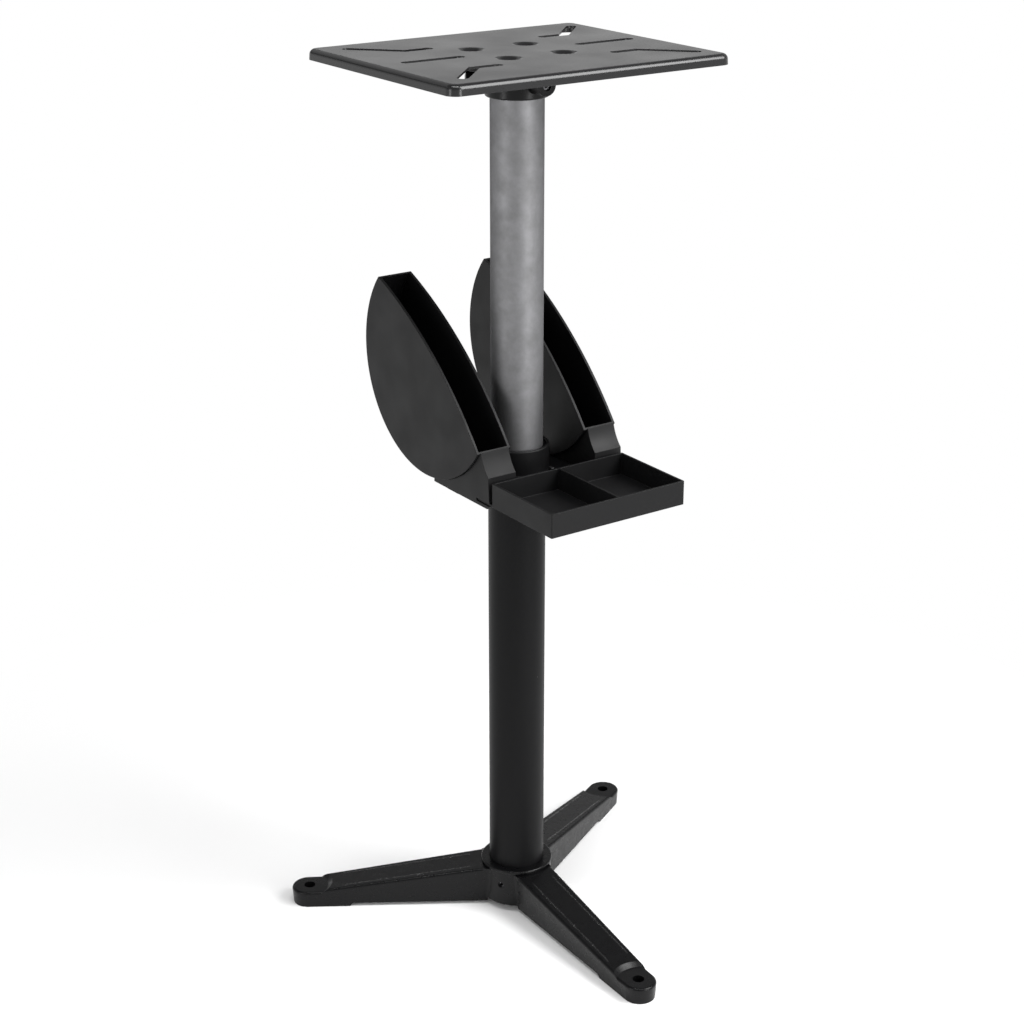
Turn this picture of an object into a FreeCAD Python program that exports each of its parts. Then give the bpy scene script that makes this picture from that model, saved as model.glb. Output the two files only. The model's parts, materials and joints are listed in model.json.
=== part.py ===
import FreeCAD, Part
import os
from math import pi
import Sketcher
from FreeCAD import Placement, Rotation, Vector

# Bench grinder stand: a cast tripod foot, a two-piece telescoping post, a moulded
# carrier with two wheel pockets and a parts tray, and a slotted pressed-steel top plate.
# Frame: origin on the floor on the post's axis, +Z up, +X to the right of someone who
# stands at the tray, so the tray is on the -Y side. Millimetres and degrees.

SIZES = [
    # overall
    ("table_top_z", 830.0, "floor to the face that the grinder stands on"),
    # cast foot
    ("leg_count", 3.0, "legs, evenly spaced"),
    ("foot_hole_reach", 205.0, "post axis to each floor bolt hole"),
    ("foot_hole_radius", 5.5, "clearance hole for an M10 floor bolt"),
    ("foot_end_radius", 14.8, "round end of a leg, at the floor"),
    ("foot_end_shift", 1.5, "centre of that round end, beyond the hole"),
    ("foot_pad_thickness", 16.5, "thickness under a floor bolt"),
    ("foot_pad_length", 55.5, "length of a leg's end that touches the floor"),
    ("foot_step_reach", 18.0, "hole to the foot of the step behind the pad"),
    ("foot_step_radius", 28.0, "plan radius of that step"),
    ("foot_step_slope", 40.0, "slope of that step from level"),
    ("leg_root_half_width", 17.4, "half width of a leg at the post axis, at the floor"),
    ("leg_draft", 4.0, "pattern draft of the legs' sides"),
    ("leg_root_height", 41.0, "top of a leg where it meets the hub"),
    ("leg_tip_height", 19.6, "top of a leg at that step"),
    ("leg_ground_gap", 3.6, "relief under a leg behind its pad"),
    ("leg_edge_round", 2.6, "cast rounding of a leg's top edges"),
    ("foot_edge_round", 2.4, "cast rounding of the pad's rim"),
    ("hub_radius", 34.0, "outside of the hub"),
    ("hub_rise", 1.0, "hub's plain wall above the legs"),
    ("hub_underside", 7.0, "gap under the hub"),
    ("hub_floor", 5.0, "ledge that the column stands on"),
    ("hub_ledge", 6.0, "width of that ledge, inward from the bore"),
    ("hub_fit", 0.35, "radial clearance of the column in the hub"),
    ("bead_height", 3.2, "height of the round bead on the hub's rim"),
    ("bead_lip", 0.9, "how far the bead stands out of the hub"),
    ("hub_screw_z", 28.0, "height of the hub's set screws"),
    # post
    ("column_radius", 26.5, "outside of the lower, painted tube"),
    ("column_top_z", 476.0, "top end of the lower tube"),
    ("post_radius", 23.75, "outside of the upper, bare tube"),
    ("post_wall", 2.0, "wall of the upper tube"),
    ("post_fit", 0.3, "radial clearance between the two tubes"),
    ("post_overlap", 100.0, "length of the upper tube inside the lower one"),
    ("lock_nut_z", 434.0, "height of the nut welded to the lower tube"),
    ("lock_nut_flats", 17.0, "across flats of the welded nut and the lock bolt's head"),
    ("lock_nut_thickness", 9.0, "thickness of the welded nut"),
    ("lock_bolt_radius", 5.0, "M10 lock bolt"),
    ("lock_head_thickness", 6.4, "lock bolt's head"),
    ("lock_head_gap", 6.0, "thread that shows between the head and the nut"),
    # flange between post and plate
    ("flange_length", 35.8, "under side of the plate to the flange's lower end"),
    ("flange_collar_radius", 28.0, "outside of the flange's collar"),
    ("flange_disc_radius", 52.0, "disc under the plate"),
    ("flange_disc_thickness", 10.0, "thickness of that disc"),
    ("flange_bore_depth", 25.6, "how far the upper tube goes into the flange"),
    ("flange_fit", 0.05, "radial clearance of the upper tube in the flange"),
    ("flange_boss_radius", 9.0, "boss round a flange set screw"),
    ("flange_boss_reach", 44.5, "post axis to the boss's face"),
    ("flange_boss_drop", 21.5, "under side of the plate to a boss's axis"),
    # set screws in the hub and in the flange
    ("set_screws", 3.0, "set screws in the hub, and in the flange"),
    ("hub_screw_radius", 3.0, "M6 set screw in the hub"),
    ("hub_screw_socket", 1.5, "half the across-flats of its hexagon socket"),
    ("flange_screw_radius", 4.0, "M8 set screw in the flange"),
    ("flange_screw_socket", 2.0, "half the across-flats of its hexagon socket"),
    ("set_screw_depth", 3.6, "depth of the sockets"),
    ("set_screw_recess", 2.0, "how far a set screw sits inside its hole's mouth"),
    ("tip_gap", 0.1, "set screw tip to the round post in the turning joint"),
    # top plate
    ("plate_width", 283.0, "left to right, over the skirt"),
    ("plate_depth", 231.5, "front to back, over the skirt"),
    ("plate_sheet", 2.0, "pressed steel sheet"),
    ("plate_skirt", 9.2, "height of the turned-down edge"),
    ("plate_flare", 4.0, "flare of the skirt from upright"),
    ("plate_corner", 10.0, "plan radius of the corners"),
    ("plate_roll", 5.0, "outside radius of the rolled edge"),
    ("screw_square", 56.6, "side of the square of plate screws"),
    ("plate_screw_radius", 4.0, "M8 plate screw"),
    ("screw_head_radius", 6.8, "flat head of a plate screw"),
    ("screw_head_depth", 2.8, "height of the head's cone"),
    ("dimple_radius", 10.2, "pressed dimple round a plate screw"),
    ("dimple_depth", 2.4, "how far the dimple sinks"),
    ("screw_slot", 1.3, "width of the cross recess"),
    ("screw_cross", 7.4, "span of the cross recess"),
    ("screw_cross_depth", 1.6, "depth of the cross recess"),
    ("seat_gap", 0.1, "dimple to its seat in the flange"),
    ("slot_width", 9.5, "width of the grinder's bolt slots"),
    ("slot_shift", 4.0, "middle of the slots, right of the plate's middle"),
    ("mid_slot_near", 62.6, "inner end's centre of a straight slot, from that middle"),
    ("mid_slot_far", 114.7, "outer end's centre of a straight slot"),
    ("corner_slot_near", 60.6, "inner end's centre of a bent slot"),
    ("corner_slot_bend", 83.4, "where a bent slot turns"),
    ("corner_slot_y", 53.0, "bent slot's inner leg from the middle"),
    ("corner_slot_angle", 46.5, "turn of a bent slot"),
    ("corner_slot_run", 50.5, "length of its slanted leg"),
    # moulded carrier
    ("carrier_z", 450.0, "floor of the tray"),
    ("carrier_width", 145.5, "width over the cradles"),
    ("carrier_front", 62.2, "front face, ahead of the post axis"),
    ("carrier_back", 27.0, "back edge, behind the post axis"),
    ("deck_thickness", 5.0, "deck between the cradles, above the tray's floor"),
    ("deck_foot", 3.5, "how far the deck goes down below the tray's floor"),
    ("collar_radius", 29.8, "collar round the column"),
    ("collar_top_z", 478.0, "top of the collar"),
    ("collar_fit", 0.2, "radial clearance of the collar"),
    ("collar_round", 1.4, "rounding of the collar's top"),
    ("cradle_width", 29.4, "width of one cradle"),
    ("cradle_face_z", 476.0, "foot of the cradle's sloping face"),
    ("cradle_face_lean", 1.2, "how far the cradle's front leans back at that foot"),
    ("cradle_top_z", 496.0, "top of the cradle's nose"),
    ("cradle_nose", 0.6, "flat on top of the nose, in front of the pocket"),
    ("cradle_hollow", 1.7, "how far the sloping face is hollowed"),
    ("moulding_gap", 0.2, "clearance between plastic pieces"),
    ("carrier_screw_radius", 2.5, "screw that pins the collar to the column"),
    ("carrier_screw_z", 466.0, "height of that screw"),
    ("carrier_screw_head", 4.6, "radius of its pan head"),
    # wheel pockets
    ("pocket_axis_y", 36.0, "axis of the wheel in a pocket, behind the post axis"),
    ("pocket_axis_z", 552.5, "height of that axis"),
    ("wheel_radius", 100.0, "200 mm grinding wheel"),
    ("pocket_wall", 2.0, "wall under the wheel"),
    ("pocket_panel", 2.6, "side panel"),
    ("pocket_width", 35.2, "width over both panels"),
    ("pocket_shift", 0.15, "middle of a cradle to its pocket's middle, towards the post"),
    ("rim_tilt", 37.8, "slope of the mouth, front to back"),
    ("rim_rise", 5.7, "mouth's chord above the wheel's axis"),
    ("rim_bulge", 13.0, "how far the mouth's edge bows out of its chord"),
    ("latch_length", 17.6, "width of a pocket's latch, front to back"),
    ("latch_tab", 3.0, "thickness of the latch's tab"),
    ("latch_inset", 3.0, "tab to the outside of the carrier"),
    ("latch_lip", 2.0, "how far the latch catches outward"),
    ("latch_drop", 2.0, "height of the catch below the deck"),
    # tray
    ("tray_inset", 1.25, "side of the tray inside the side of the carrier"),
    ("tray_depth", 90.0, "tray, front to back"),
    ("tray_height", 22.0, "tray, over its floor"),
    ("tray_gap", 2.2, "groove between the carrier and the tray"),
    ("tray_wall", 2.2, "walls of the tray"),
    ("tray_floor", 2.4, "floor of the tray"),
    ("tray_divider", 2.0, "wall between its compartments"),
    ("tray_corner", 1.2, "rounding of its upright corners"),
    ("tongue_length", 22.0, "tongue of the tray under the carrier"),
    ("tongue_thickness", 2.2, "thickness of that tongue"),
    ("clip_x", -6.5, "clip that holds the tray's back wall, from the middle"),
    ("clip_width", 3.0, "width of the clip"),
    ("clip_thickness", 1.8, "thickness of the clip"),
    ("clip_lip", 1.5, "height of the clip's lip over the tray"),
]

doc = FreeCAD.newDocument("bench_grinder_stand")
sheet = doc.addObject("Spreadsheet::Sheet", "Size")
for row, (alias, value, note) in enumerate(SIZES, start=1):
    sheet.set(f"A{row}", alias)
    sheet.set(f"B{row}", str(value))
    sheet.setAlias(f"B{row}", alias)
    sheet.set(f"C{row}", note)
doc.recompute()

# Places that several pieces share, as expressions in the driving sizes.
UNDER_PLATE = "(Size.table_top_z - Size.plate_sheet)"
COLUMN_BORE = "(Size.post_radius + Size.post_fit)"
HUB_BORE = "(Size.column_radius + Size.hub_fit)"
HUB_TOP = "(Size.leg_root_height + Size.hub_rise)"
COLUMN_FOOT = "(Size.hub_underside + Size.hub_floor)"
POST_FOOT = "(Size.column_top_z - Size.post_overlap)"
POST_HEAD = f"({UNDER_PLATE} - Size.flange_length + Size.flange_bore_depth)"
FLANGE_FOOT = f"({UNDER_PLATE} - Size.flange_length)"
BOSS_Z = f"({UNDER_PLATE} - Size.flange_boss_drop)"
DIMPLE_FLOOR = "(Size.table_top_z - Size.dimple_depth)"
SCREW_HEAD_FOOT = f"({DIMPLE_FLOOR} - Size.screw_head_depth)"
TRAY_BACK = "(-Size.carrier_front - Size.tray_gap)"
TRAY_FRONT = f"({TRAY_BACK} - Size.tray_depth)"
TRAY_TOP = "(Size.carrier_z + Size.tray_height)"
CARRIER_SIDE = "(Size.carrier_width / 2)"
CARRIER_FOOT = "(Size.carrier_z - Size.deck_foot)"
CRADLE_MIDDLE = f"({CARRIER_SIDE} - Size.cradle_width / 2)"
POCKET_MIDDLE = f"({CRADLE_MIDDLE} - Size.pocket_shift)"
TRAY_SIDE = f"({CARRIER_SIDE} - Size.tray_inset)"
POCKET_RADIUS = "(Size.wheel_radius + Size.pocket_wall)"
SEAT_RADIUS = f"({POCKET_RADIUS} + Size.moulding_gap)"
RIM_CHORD = f"sqrt({POCKET_RADIUS} ^ 2 - Size.rim_rise ^ 2)"
RIM_RADIUS = f"(({RIM_CHORD} ^ 2 + Size.rim_bulge ^ 2) / (2 * Size.rim_bulge))"
NUT_FACE = "(Size.column_radius + Size.lock_nut_thickness)"

# Legs point to the front and to both sides of the back, clamped a little off square.
FIRST_LEG = 28.3
# The flange's set screws point to the front and to both sides of the back.
FIRST_BOSS = -90.0


# ---- helpers ---------------------------------------------------------------

def origin_feature(body, role):
    """Plane or axis of a body's own origin."""
    return next(feature for feature in body.Origin.OriginFeatures if feature.Role == role)


def new_body(name):
    """One sub-part, whose label names its file."""
    body = doc.addObject("PartDesign::Body", name)
    body.Label = name
    return body


def new_sketch(body, name, plane, offset="0", shift_x="0", shift_y="0"):
    """Sketch on an origin plane, moved along the plane's own axes by expressions."""
    sketch = body.newObject("Sketcher::SketchObject", name)
    sketch.AttachmentSupport = [(origin_feature(body, plane), "")]
    sketch.MapMode = "FlatFace"
    for axis, expression in (("x", shift_x), ("y", shift_y), ("z", offset)):
        if expression != "0":
            sketch.setExpression(f"AttachmentOffset.Base.{axis}", f"({expression}) * 1 mm")
    return sketch


def pin_point(sketch, geometry, point, x, y):
    """Fixes a point of a sketch at two expressions."""
    for kind, axis, expression in (("DistanceX", -2, x), ("DistanceY", -1, y)):
        if expression == "0":
            sketch.addConstraint(Sketcher.Constraint("PointOnObject", geometry, point, axis))
        else:
            number = sketch.addConstraint(Sketcher.Constraint(kind, -1, 1, geometry, point, 1.0))
            sketch.setExpression(f"Constraints[{number}]", f"({expression}) * 1 mm")


def draw_polygon(sketch, points):
    """Closed outline through points given as pairs of expressions."""
    first = sketch.GeometryCount
    count = len(points)
    ring = [Rotation(Vector(0, 0, 1), 360.0 * k / count).multVec(Vector(10, 0, 0)) for k in range(count)]
    for k in range(count):
        sketch.addGeometry(Part.LineSegment(ring[k], ring[(k + 1) % count]), False)
    for k in range(count):
        following = first + (k + 1) % count
        sketch.addConstraint(Sketcher.Constraint("Coincident", first + k, 2, following, 1))
    for k, (x, y) in enumerate(points):
        pin_point(sketch, first + k, 1, x, y)


def draw_rectangle(sketch, x0, y0, x1, y1):
    """Closed rectangle between two corners."""
    draw_polygon(sketch, [(x0, y0), (x1, y0), (x1, y1), (x0, y1)])


def draw_rounded_rectangle(sketch, half_x, half_y, radius):
    """Rectangle about the sketch's root with its corners rounded."""
    signs = [(1, 1), (-1, 1), (-1, -1), (1, -1)]
    arcs = []
    for k, (sx, sy) in enumerate(signs):
        circle = Part.Circle(Vector(50 * sx, 50 * sy, 0), Vector(0, 0, 1), 10)
        arc = Part.ArcOfCircle(circle, k * pi / 2, (k + 1) * pi / 2)
        arcs.append(sketch.addGeometry(arc, False))
    for k, arc in enumerate(arcs):
        following = arcs[(k + 1) % 4]
        start, stop = sketch.getPoint(arc, 2), sketch.getPoint(following, 1)
        line = sketch.addGeometry(Part.LineSegment(start, stop), False)
        sketch.addConstraint(Sketcher.Constraint("Tangent", arc, 2, line, 1))
        sketch.addConstraint(Sketcher.Constraint("Tangent", line, 2, following, 1))
    for arc, (sx, sy) in zip(arcs, signs):
        pin_point(sketch, arc, 3, f"{sx} * ({half_x} - {radius})", f"{sy} * ({half_y} - {radius})")
        set_radius(sketch, arc, radius)


def set_radius(sketch, geometry, radius):
    """Radius of a circle or an arc from an expression."""
    number = sketch.addConstraint(Sketcher.Constraint("Radius", geometry, 10.0))
    sketch.setExpression(f"Constraints[{number}]", f"({radius}) * 1 mm")


def draw_circle(sketch, radius, x="0", y="0"):
    """Circle with its centre and radius given as expressions."""
    circle = sketch.addGeometry(Part.Circle(Vector(5, 5, 0), Vector(0, 0, 1), 10), False)
    pin_point(sketch, circle, 3, x, y)
    set_radius(sketch, circle, radius)


def draw_hexagon(sketch, apothem, x="0", y="0"):
    """Regular hexagon by half its across-flats."""
    half = f"{apothem} / cos(30)"
    quarter = f"{apothem} / cos(30) / 2"
    draw_polygon(sketch, [
        (f"{x} + {half}", y), (f"{x} + {quarter}", f"{y} + {apothem}"),
        (f"{x} - {quarter}", f"{y} + {apothem}"), (f"{x} - {half}", y),
        (f"{x} - {quarter}", f"{y} - {apothem}"), (f"{x} + {quarter}", f"{y} - {apothem}")])


def extrude(body, kind, name, sketch, length=None, middle=False, reversed_=False, draft="0"):
    """Pad or Pocket of a sketch; without a length a Pocket goes through everything."""
    feature = body.newObject(f"PartDesign::{kind}", name)
    feature.Profile = sketch
    if length is None:
        feature.Type = "ThroughAll"
    else:
        feature.setExpression("Length", f"({length}) * 1 mm")
    feature.Midplane = middle
    feature.Reversed = reversed_
    if draft != "0":
        feature.setExpression("TaperAngle", f"({draft}) * 1 deg")
    return feature


def pad(body, name, sketch, length, **options):
    return extrude(body, "Pad", name, sketch, length, **options)


def pocket(body, name, sketch, length=None, **options):
    return extrude(body, "Pocket", name, sketch, length, **options)


def spin(body, kind, name, sketch):
    """Full turn of a sketch about its own upright axis."""
    feature = body.newObject(f"PartDesign::{kind}", name)
    feature.Profile = sketch
    feature.ReferenceAxis = (sketch, ["V_Axis"])
    feature.Angle = 360
    return feature


def around_post(body, name, features, count):
    """Copies features evenly about the post's axis."""
    pattern = body.newObject("PartDesign::PolarPattern", name)
    pattern.Originals = features
    pattern.Axis = (origin_feature(body, "Z_Axis"), [""])
    pattern.Angle = 360
    pattern.setExpression("Occurrences", count)
    body.Tip = pattern
    return pattern


def edges_where(feature, wanted):
    """Names of a feature's edges that pass a test on the edge."""
    return [f"Edge{k}" for k, edge in enumerate(feature.Shape.Edges, start=1) if wanted(edge)]


def round_edges(body, name, wanted, radius):
    """Fillet on the edges of the body's tip that pass a test."""
    doc.recompute()
    base = body.Tip
    edges = edges_where(base, wanted)
    fillet = body.newObject("PartDesign::Fillet", name)
    fillet.Base = (base, edges)
    fillet.setExpression("Radius", f"({radius}) * 1 mm")
    return fillet


def size(alias):
    """A driving size as a number, for tests on edges."""
    return float(sheet.get(alias))


def middle_of(edge):
    """Point half way along an edge."""
    first, last = edge.ParameterRange
    return edge.valueAt((first + last) / 2)


def middle_of_face(face):
    """Surface parameters half way across a face."""
    u0, u1, v0, v1 = face.ParameterRange
    return (u0 + u1) / 2, (v0 + v1) / 2


def spread(edge, axis):
    """Extent of an edge along one axis."""
    low = getattr(edge.BoundBox, f"{axis}Min")
    return getattr(edge.BoundBox, f"{axis}Max") - low


def level_at(z, beyond=0.0):
    """Test for level edges at one height whose middles lie beyond a radius from the post's axis."""
    def test(edge):
        point = middle_of(edge)
        outside = (point.x ** 2 + point.y ** 2) ** 0.5 > beyond
        return outside and abs(point.z - z) < 0.01 and spread(edge, "Z") < 0.01
    return test


# ---- cast tripod foot ------------------------------------------------------

def make_base_casting():
    """Hub with three drafted legs, each stepping down to a pad with a bolt hole."""
    body = new_body("base_casting")
    reach = "Size.foot_hole_reach"
    root = "Size.leg_root_half_width"
    end = "Size.foot_end_radius"
    end_reach = f"({reach} + Size.foot_end_shift)"

    leg = new_sketch(body, "leg_plan", "XY_Plane")
    x = size("foot_hole_reach") + size("foot_end_shift")
    root_y, end_y = size("leg_root_half_width"), size("foot_end_radius")
    corners = [Vector(x, end_y, 0), Vector(0, root_y, 0), Vector(0, -root_y, 0), Vector(x, -end_y, 0)]
    for start, stop in zip(corners, corners[1:]):
        leg.addGeometry(Part.LineSegment(start, stop), False)
    leg.addGeometry(Part.Arc(corners[3], Vector(x + end_y, 0, 0), corners[0]), False)
    leg.addConstraint(Sketcher.Constraint("Coincident", 0, 2, 1, 1))
    leg.addConstraint(Sketcher.Constraint("Coincident", 1, 2, 2, 1))
    pin_point(leg, 1, 1, "0", root)
    pin_point(leg, 1, 2, "0", f"-{root}")
    leg.addConstraint(Sketcher.Constraint("Tangent", 2, 2, 3, 1))
    leg.addConstraint(Sketcher.Constraint("Tangent", 3, 2, 0, 1))
    pin_point(leg, 3, 3, end_reach, "0")
    set_radius(leg, 3, end)
    leg_pad = pad(body, "leg", leg, "Size.leg_root_height")
    around_post(body, "legs", [leg_pad], "Size.leg_count")
    doc.recompute()
    blank = body.Tip
    sides = [f"Face{k}" for k, face in enumerate(blank.Shape.Faces, start=1)
             if abs(face.normalAt(*middle_of_face(face)).z) < 0.5]
    draft = body.newObject("PartDesign::Draft", "leg_sides")
    draft.Base = (blank, sides)
    draft.NeutralPlane = (origin_feature(body, "XY_Plane"), [""])
    draft.Reversed = True
    draft.setExpression("Angle", "Size.leg_draft * 1 deg")

    outside = f"({reach} + 2 * Size.foot_step_reach)"
    above = "(Size.leg_root_height + Size.leg_tip_height)"
    back_slope = new_sketch(body, "leg_top_profile", "XZ_Plane")
    draw_polygon(back_slope, [
        ("Size.hub_radius", "Size.leg_root_height"),
        (f"({reach} - Size.foot_step_reach)", "Size.leg_tip_height"),
        (outside, "Size.leg_tip_height"), (outside, above), ("Size.hub_radius", above)])
    slope_cut = pocket(body, "leg_top", back_slope, "4 * Size.hub_radius", middle=True)

    step = new_sketch(body, "foot_step_section", "XZ_Plane",
                      shift_x=f"({reach} + Size.foot_step_radius - Size.foot_step_reach)")
    step_rise = "(Size.leg_root_height - Size.foot_pad_thickness)"
    step_brim = f"(Size.foot_step_radius + {step_rise} / tan(Size.foot_step_slope * 1 deg))"
    draw_polygon(step, [
        ("0", "Size.foot_pad_thickness"), ("-Size.foot_step_radius", "Size.foot_pad_thickness"),
        (f"-{step_brim}", "Size.leg_root_height"), ("0", "Size.leg_root_height")])
    step_cut = spin(body, "Groove", "foot_step", step)
    hole = new_sketch(body, "foot_hole_plan", "XY_Plane")
    draw_circle(hole, "Size.foot_hole_radius", x=reach)
    hole_cut = pocket(body, "foot_hole", hole, "Size.leg_root_height", reversed_=True)

    relief = new_sketch(body, "relief_profile", "XZ_Plane")
    pad_start = f"({end_reach} + {end} - Size.foot_pad_length)"
    draw_polygon(relief, [
        ("0", "0"), (pad_start, "0"), (f"({pad_start} - Size.leg_ground_gap)", "Size.leg_ground_gap"),
        ("0", "Size.leg_ground_gap")])
    relief_cut = pocket(body, "relief", relief, "4 * Size.hub_radius", middle=True)
    around_post(body, "leg_cuts", [slope_cut, step_cut, hole_cut, relief_cut], "Size.leg_count")

    under = new_sketch(body, "hub_under_plan", "XY_Plane")
    draw_circle(under, "Size.hub_radius")
    pocket(body, "hub_under", under, "Size.hub_underside", reversed_=True)
    hub = new_sketch(body, "hub_plan", "XY_Plane", offset="Size.hub_underside")
    draw_circle(hub, "Size.hub_radius")
    pad(body, "hub", hub, f"({HUB_TOP} - Size.hub_underside)")

    def web_corner(edge):
        point = middle_of(edge)
        at_hub = abs(point.x ** 2 + point.y ** 2 - size("hub_radius") ** 2) < 60
        return at_hub and spread(edge, "Z") > 0.6 * size("leg_root_height")

    def leg_top_edge(edge):
        point = middle_of(edge)
        sloping = spread(edge, "Z") > 0.5 * (size("leg_root_height") - size("leg_tip_height"))
        long = edge.Length > size("foot_hole_reach") / 2
        return sloping and long and point.z > size("leg_tip_height")

    beyond_hole = size("foot_hole_reach") + 2 * size("foot_hole_radius")
    foot_rim = level_at(size("foot_pad_thickness"), beyond_hole)
    round_edges(body, "foot_rounds", foot_rim, "Size.foot_edge_round")
    round_edges(body, "web_rounds", web_corner, "(2 * Size.leg_edge_round)")
    round_edges(body, "leg_rounds", leg_top_edge, "Size.leg_edge_round")

    bead = new_sketch(body, "bead_plan", "XY_Plane", offset=HUB_TOP)
    draw_circle(bead, "(Size.hub_radius + Size.bead_lip)")
    pad(body, "bead", bead, "Size.bead_height")

    hub_top = size("leg_root_height") + size("hub_rise")
    bead_top = level_at(hub_top + size("bead_height"), size("hub_radius"))
    round_edges(body, "bead_top_round", bead_top, "Size.bead_height / 2")
    bead_foot = level_at(hub_top, size("hub_radius") + size("bead_lip") / 2)
    round_edges(body, "bead_foot_round", bead_foot, "0.9 * Size.bead_lip")

    bore = new_sketch(body, "bore_plan", "XY_Plane", offset=COLUMN_FOOT)
    draw_circle(bore, HUB_BORE)
    pocket(body, "bore", bore, "2 * Size.leg_root_height", reversed_=True)
    ledge = new_sketch(body, "ledge_plan", "XY_Plane")
    draw_circle(ledge, f"({HUB_BORE} - Size.hub_ledge)")
    pocket(body, "ledge", ledge, "2 * Size.leg_root_height", reversed_=True)

    screw_hole = new_sketch(body, "hub_screw_section", "YZ_Plane")
    draw_circle(screw_hole, "Size.hub_screw_radius", y="Size.hub_screw_z")
    hole_cut = pocket(body, "hub_screw_hole", screw_hole, "2 * Size.hub_radius", reversed_=False)
    around_post(body, "hub_screw_holes", [hole_cut], "Size.set_screws")
    body.Placement = Placement(Vector(0, 0, 0), Rotation(Vector(0, 0, 1), FIRST_LEG))
    return body


def make_set_screws(name, radius, socket_half, tip, face, height, turn):
    """Ring of hexagon-socket set screws, from their tips to their recessed outer ends."""
    body = new_body(name)
    shank = new_sketch(body, f"{name}_section", "YZ_Plane", offset=tip)
    draw_circle(shank, radius, y=height)
    shank_pad = pad(body, f"{name}_shank", shank, f"({face} - Size.set_screw_recess - {tip})")
    socket = new_sketch(body, f"{name}_socket_section", "YZ_Plane",
                        offset=f"({face} - Size.set_screw_recess)")
    draw_hexagon(socket, socket_half, y=height)
    socket_cut = pocket(body, f"{name}_socket", socket, "Size.set_screw_depth")
    around_post(body, f"{name}_ring", [shank_pad, socket_cut], "Size.set_screws")
    body.Placement = Placement(Vector(0, 0, 0), Rotation(Vector(0, 0, 1), turn))
    return body


# ---- post ------------------------------------------------------------------

def make_tube(name, radius, bore, foot, head):
    """Plain round tube between two heights."""
    body = new_body(name)
    section = new_sketch(body, f"{name}_section", "XY_Plane", offset=foot)
    draw_circle(section, radius)
    draw_circle(section, bore)
    pad(body, f"{name}_wall", section, f"({head} - {foot})")
    return body


def drill_lock_hole(body, name, length):
    """Radial hole at the back for the lock bolt."""
    hole = new_sketch(body, f"{name}_section", "XZ_Plane")
    draw_circle(hole, "Size.lock_bolt_radius", y="Size.lock_nut_z")
    return pocket(body, name, hole, length, reversed_=False)


def make_lower_tube():
    """Painted column that stands in the hub, drilled for the lock bolt and the collar's screw."""
    body = make_tube("lower_tube", "Size.column_radius", COLUMN_BORE, COLUMN_FOOT, "Size.column_top_z")
    drill_lock_hole(body, "lock_hole", "2 * Size.column_radius")
    pin = new_sketch(body, "pin_hole_section", "XZ_Plane")
    draw_circle(pin, "Size.carrier_screw_radius", y="Size.carrier_screw_z")
    pocket(body, "pin_hole", pin, "2 * Size.column_radius", reversed_=False)
    return body


def make_lock_nut():
    """Nut welded to the back of the column; its inner side follows the tube."""
    body = new_body("lock_nut")
    blank = new_sketch(body, "nut_section", "XZ_Plane")
    draw_hexagon(blank, "Size.lock_nut_flats / 2", y="Size.lock_nut_z")
    pad(body, "nut_blank", blank, NUT_FACE, reversed_=True)
    drill_lock_hole(body, "nut_thread", "2 * Size.column_radius")
    seat = new_sketch(body, "nut_seat_plan", "XY_Plane")
    draw_circle(seat, "Size.column_radius")
    pocket(body, "nut_seat", seat, "Size.table_top_z", reversed_=True)
    return body


def make_lock_bolt():
    """Hexagon-head bolt that presses on the upper tube and holds it at its height."""
    body = new_body("height_lock_bolt")
    tip = "(Size.post_radius + Size.post_fit / 2)"
    head = f"({NUT_FACE} + Size.lock_head_gap)"
    shank = new_sketch(body, "lock_shank_section", "XZ_Plane", offset=f"-{tip}")
    draw_circle(shank, "Size.lock_bolt_radius", y="Size.lock_nut_z")
    pad(body, "lock_shank", shank, f"({head} - {tip})", reversed_=True)
    hexagon = new_sketch(body, "lock_head_section", "XZ_Plane", offset=f"-{head}")
    draw_hexagon(hexagon, "Size.lock_nut_flats / 2", y="Size.lock_nut_z")
    pad(body, "lock_head", hexagon, "Size.lock_head_thickness", reversed_=True)
    return body


# ---- flange and top plate --------------------------------------------------

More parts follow.
